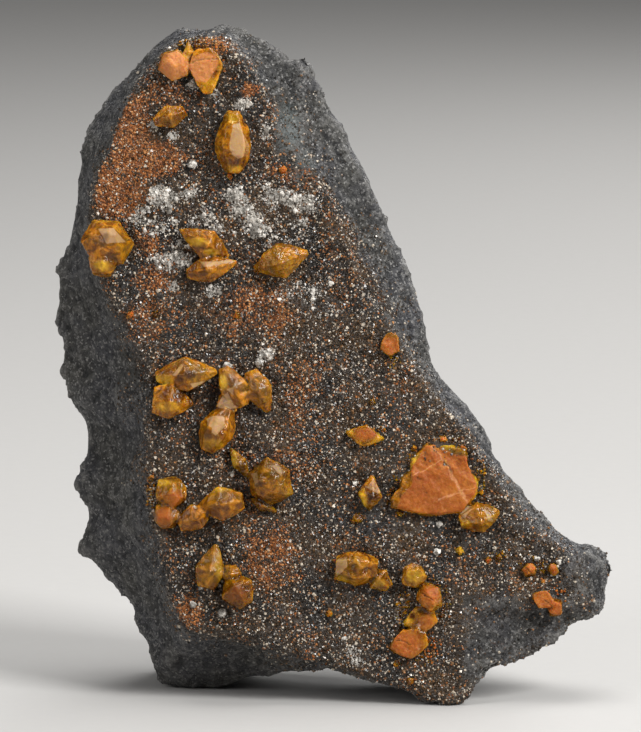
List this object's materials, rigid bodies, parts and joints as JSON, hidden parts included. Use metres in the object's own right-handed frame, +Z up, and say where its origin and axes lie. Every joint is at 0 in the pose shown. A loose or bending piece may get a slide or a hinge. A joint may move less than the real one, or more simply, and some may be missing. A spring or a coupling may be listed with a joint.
{
  "type": "mineral specimen of sturmanite crystals on ore matrix",
  "caption": "Hand specimen: honey-yellow hexagonal dipyramids and orange crystal stumps scattered over the face of a dark splinter of ore, standing on its two feet.",
  "frame": {"origin": "on the surface the specimen stands on, under the middle of its bounding box", "axes": "+Z up, the crystal-bearing face looks along -Y and leans back by 8 degrees, +X to its right"},
  "size_m": [0.0758, 0.035, 0.0898],
  "materials": {
    "ore": "dark grey manganese ore, sparkling with fine crystals on its front face, with rust stains and white druse, smoother and duller on its broken sides",
    "crystal": "honey-yellow to amber translucent crystal with a waxy to glassy shine, orange within and yellow-green at thin edges",
    "broken_crystal": "salmon-orange broken crystal, nearly opaque, satin with fine steps, with a yellow-green rim"
  },
  "bodies": {
    "root": {"matrix": "ore", "top_twin": "broken_crystal", "small_oval": "crystal", "tall_pale": "crystal", "left_edge": "crystal", "arrow_pair": "crystal", "upper_spindle": "crystal", "wedge_pair": "crystal", "middle_cluster": "crystal", "round_and_sliver": "crystal", "left_row": "crystal", "teardrop_pair": "crystal", "right_bead": "broken_crystal", "orange_lens": "broken_crystal", "white_tipped": "crystal", "big_stump": "broken_crystal", "block": "crystal", "chain": "broken_crystal", "lower_speck": "crystal", "spur_bead": "broken_crystal", "spur_bead_small": "broken_crystal", "spur_pair": "broken_crystal"}
  },
  "joints": []
}
